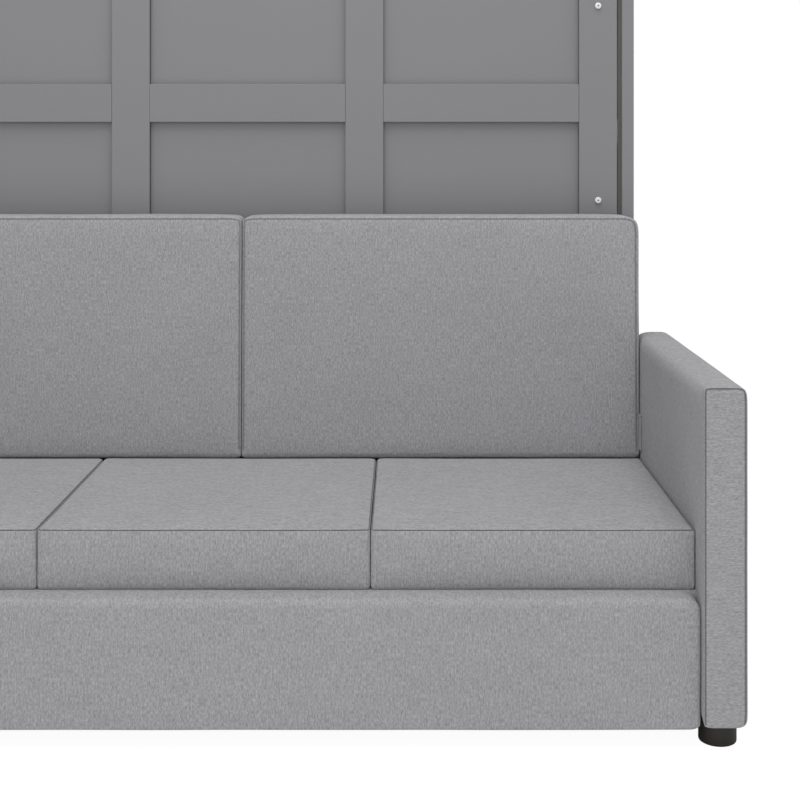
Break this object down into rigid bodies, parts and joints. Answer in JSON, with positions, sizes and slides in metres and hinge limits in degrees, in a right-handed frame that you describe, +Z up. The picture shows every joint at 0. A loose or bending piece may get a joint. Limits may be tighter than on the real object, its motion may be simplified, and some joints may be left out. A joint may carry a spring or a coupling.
{
  "type": "wall bed",
  "caption": "Upright folding wall bed with a framed grid face in a shallow cabinet, behind a padded sofa with loose seat cushions and a folding backrest.",
  "frame": {"origin": "on the floor, in the middle of the object's width and depth", "axes": "+Z up, +X to the right as seen from the front, and the front faces -Y"},
  "size_m": [1.789, 1.167, 2.41],
  "materials": {
    "painted_panel": "satin",
    "upholstery": "matte",
    "ticking": "matte",
    "webbing": "matte",
    "timber": "matte",
    "dark_steel": "satin",
    "bright_steel": "satin",
    "black_plastic": "satin",
    "nylon": "matte"
  },
  "bodies": {
    "cabinet": {"side_panel_left": "painted_panel", "side_panel_right": "painted_panel", "top_panel": "painted_panel", "kick_board": "painted_panel", "wall_rail_bottom": "painted_panel", "wall_rail_middle": "painted_panel", "wall_rail_top": "painted_panel", "mechanism_plate_left": "bright_steel", "mechanism_plate_right": "bright_steel", "base_front": "upholstery", "base_rear": "timber", "base_side_left": "timber", "base_side_right": "timber", "base_centre_rail": "timber", "seat_deck": "timber", "arm_left": "upholstery", "arm_right": "upholstery", "arm_frame_left": "timber", "arm_frame_right": "timber", "foot_front_left": "black_plastic", "foot_front_right": "black_plastic", "foot_rear_left": "black_plastic", "foot_rear_right": "black_plastic", "seat_cushion_left": "upholstery", "seat_cushion_middle": "upholstery", "seat_cushion_right": "upholstery"},
    "bed": {"face_board": "painted_panel", "cross_rail_1": "painted_panel", "cross_rail_2": "painted_panel", "cross_rail_3": "painted_panel", "cross_rail_4": "painted_panel", "cross_rail_5": "painted_panel", "cross_rail_6": "painted_panel", "inner_stile_1": "painted_panel", "inner_stile_2": "painted_panel", "outer_stile_left": "painted_panel", "outer_stile_right": "painted_panel", "stile_cap_left": "painted_panel", "stile_cap_right": "painted_panel", "bed_side_rail_left": "dark_steel", "bed_side_rail_right": "dark_steel", "pivot_bush_left": "nylon", "pivot_bush_right": "nylon", "head_cross_rail": "dark_steel", "foot_cross_rail": "dark_steel", "slat_deck": "timber", "mattress": "ticking", "mattress_strap_lower": "webbing", "mattress_strap_upper": "webbing"},
    "left_leg": {"leg_left": "painted_panel"},
    "right_leg": {"leg_right": "painted_panel"},
    "left_cylinder": {"strut_cylinder_left": "dark_steel"},
    "right_cylinder": {"strut_cylinder_right": "dark_steel"},
    "left_rod": {"strut_rod_left": "bright_steel"},
    "right_rod": {"strut_rod_right": "bright_steel"},
    "backrest": {"backrest_frame": "timber", "back_cushion_left": "upholstery", "back_cushion_right": "upholstery"}
  },
  "joints": [
    {"name": "bed_fold", "type": "hinge", "parent": "cabinet", "child": "bed", "pos_m": [0, 0.1785, 0.54], "axis": [1, 0, 0], "range_deg": [0, 90]},
    {"name": "backrest_fold", "type": "hinge", "parent": "cabinet", "child": "backrest", "pos_m": [0, 0.0155, 0.378], "axis": [1, 0, 0], "range_deg": [0, 90]},
    {"name": "leg_swing_left", "type": "hinge", "parent": "bed", "child": "left_leg", "pos_m": [-0.7526, 0.14, 2.3358], "axis": [1, 0, 0], "range_deg": [-90, 0]},
    {"name": "leg_swing_right", "type": "hinge", "parent": "bed", "child": "right_leg", "pos_m": [0.7526, 0.14, 2.3358], "axis": [1, 0, 0], "range_deg": [-90, 0]},
    {"name": "strut_tilt_left", "type": "hinge", "parent": "cabinet", "child": "left_cylinder", "pos_m": [-0.7846, 0.2785, 0.99], "axis": [1, 0, 0], "range_deg": [0, 24.65]},
    {"name": "strut_tilt_right", "type": "hinge", "parent": "cabinet", "child": "right_cylinder", "pos_m": [0.7846, 0.2785, 0.99], "axis": [1, 0, 0], "range_deg": [0, 24.65]},
    {"name": "strut_slide_left", "type": "slide", "parent": "left_cylinder", "child": "left_rod", "axis": [0, 0.0712, 0.9975], "range_m": [0, 0.2746]},
    {"name": "strut_slide_right", "type": "slide", "parent": "right_cylinder", "child": "right_rod", "axis": [0, 0.0712, 0.9975], "range_m": [0, 0.2746]}
  ],
  "couplings": [
    {"joint": "backrest_fold", "follows": "bed_fold", "ratio": 1},
    {"joint": "leg_swing_left", "follows": "bed_fold", "ratio": -1},
    {"joint": "leg_swing_right", "follows": "bed_fold", "ratio": -1},
    {"joint": "strut_tilt_left", "follows": "bed_fold", "ratio": 0.2738},
    {"joint": "strut_tilt_right", "follows": "bed_fold", "ratio": 0.2738},
    {"joint": "strut_slide_left", "follows": "bed_fold", "m_per_rad": 0.17481},
    {"joint": "strut_slide_right", "follows": "bed_fold", "m_per_rad": 0.17481}
  ]
}
